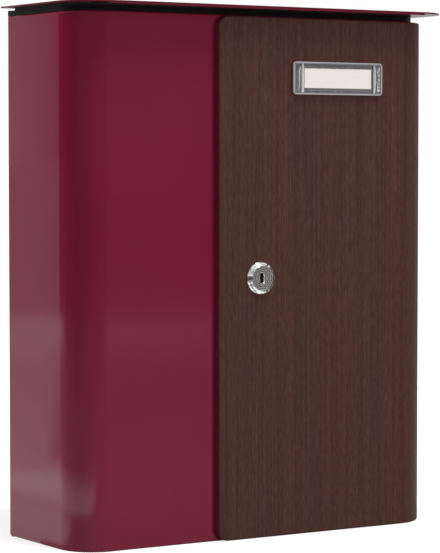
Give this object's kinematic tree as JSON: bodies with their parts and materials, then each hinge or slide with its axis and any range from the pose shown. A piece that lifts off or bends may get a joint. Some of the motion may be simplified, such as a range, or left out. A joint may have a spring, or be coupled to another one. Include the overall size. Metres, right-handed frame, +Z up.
{
  "type": "letter box",
  "caption": "Wall letter box with a hinged flat lid over its inlet and a side-hinged wrap-round door with a cam lock and a blank name plate.",
  "frame": {"origin": "centre of the four wall holes, on the rear face that lies on the wall", "axes": "+X to the right as seen from the front, +Y into the wall, +Z up"},
  "size_m": [0.3425, 0.128, 0.4064],
  "materials": {
    "maroon_steel": "satin powder coat, wine red, on 1 mm steel sheet",
    "wood_film_steel": "dark brown fine wood-grain film on 1 mm steel sheet",
    "black_plastic": "fine moulded texture, black",
    "black_rubber": "matt",
    "zinc_steel": "zinc plated",
    "chrome_metal": "polished, nickel-chrome plated",
    "grey_plastic": "smooth",
    "clear_plastic": "clear, polished",
    "white_card": "plain uncoated card"
  },
  "bodies": {
    "case": {"body_shell": "maroon_steel", "back_panel": "maroon_steel", "floor_panel": "maroon_steel", "top_frame": "black_plastic", "rim_seal": "black_rubber", "frame_screws": "zinc_steel", "lid_hinge_rod": "zinc_steel", "upper_hinge_bracket": "zinc_steel", "lower_hinge_bracket": "zinc_steel", "upper_hinge_pin": "chrome_metal", "lower_hinge_pin": "chrome_metal", "bracket_rivets": "zinc_steel"},
    "lid": {"lid": "maroon_steel"},
    "door": {"door": "wood_film_steel", "upper_hinge_leaf": "zinc_steel", "lower_hinge_leaf": "zinc_steel", "door_buffers": "black_rubber", "lock_housing": "chrome_metal", "lock_nut": "zinc_steel", "name_plate_base": "grey_plastic", "name_card": "white_card", "name_plate_cover": "clear_plastic"},
    "lock_core": {"lock_plug": "chrome_metal", "lock_cam": "zinc_steel", "cam_washer": "zinc_steel", "cam_screw": "zinc_steel"}
  },
  "joints": [
    {"name": "lid_hinge", "type": "hinge", "parent": "case", "child": "lid", "pos_m": [0, -0.0098, 0.2042], "axis": [-1, 0, 0], "range_deg": [0, 90]},
    {"name": "door_hinge", "type": "hinge", "parent": "case", "child": "door", "pos_m": [0.1615, -0.009, 0], "axis": [0, 0, 1], "range_deg": [0, 90]},
    {"name": "lock_turn", "type": "hinge", "parent": "door", "child": "lock_core", "pos_m": [-0.0025, -0.116, 0], "axis": [0, 1, 0], "range_deg": [0, 90]}
  ]
}
